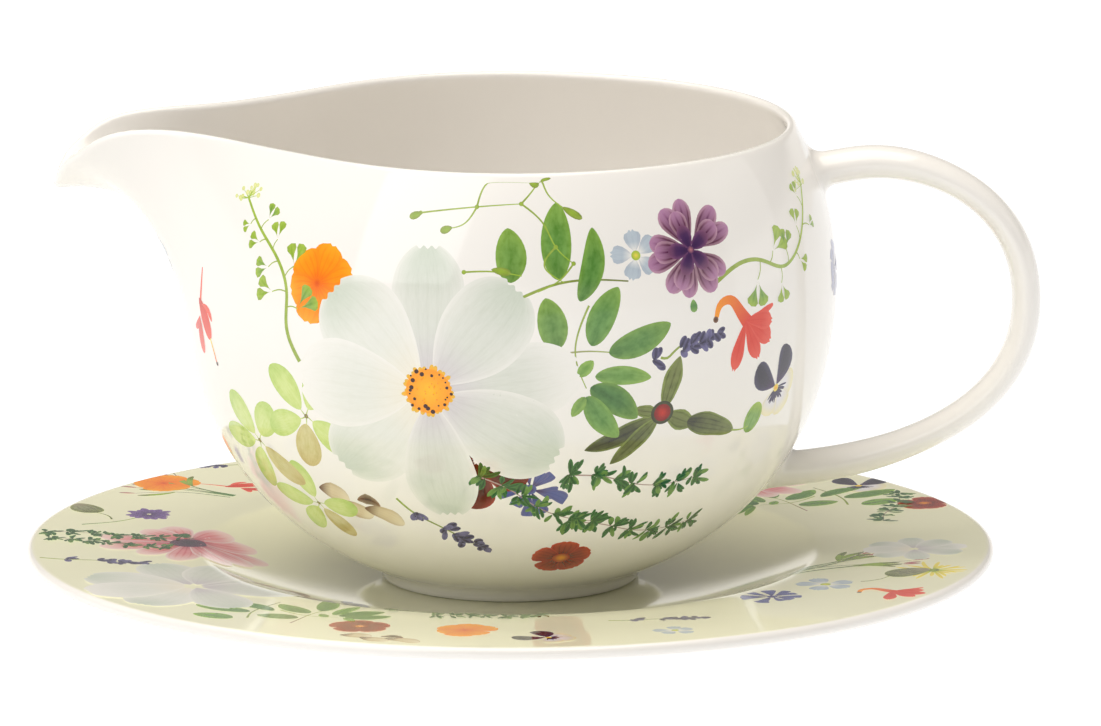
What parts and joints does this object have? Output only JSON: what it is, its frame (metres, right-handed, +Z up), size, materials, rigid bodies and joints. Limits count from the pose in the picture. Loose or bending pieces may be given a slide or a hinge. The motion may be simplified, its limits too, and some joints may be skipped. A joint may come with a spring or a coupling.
{
  "type": "gravy boat",
  "caption": "Round-bellied china gravy boat with a drooping pouring spout and a loop handle, standing free on a wide flat saucer.",
  "frame": {"origin": "on the boat's upright axis, in the plane that the saucer's foot ring stands on", "axes": "+Z up, +X towards the handle, -X towards the spout; the object is its own mirror image in the XZ plane"},
  "size_m": [0.1884, 0.18, 0.0926],
  "materials": {
    "boat_glaze": "glossy clear glaze on white bone china, printed with flowers",
    "saucer_glaze": "glossy clear glaze on bone china, tinted pale green on top and printed with flowers"
  },
  "bodies": {
    "saucer": {"saucer": "saucer_glaze"},
    "boat": {"boat_body": "boat_glaze", "handle": "boat_glaze"}
  },
  "joints": [
    {"name": "boat_lift", "type": "slide", "parent": "saucer", "child": "boat", "axis": [0, 0, 1], "range_m": [0, 0.12]}
  ]
}
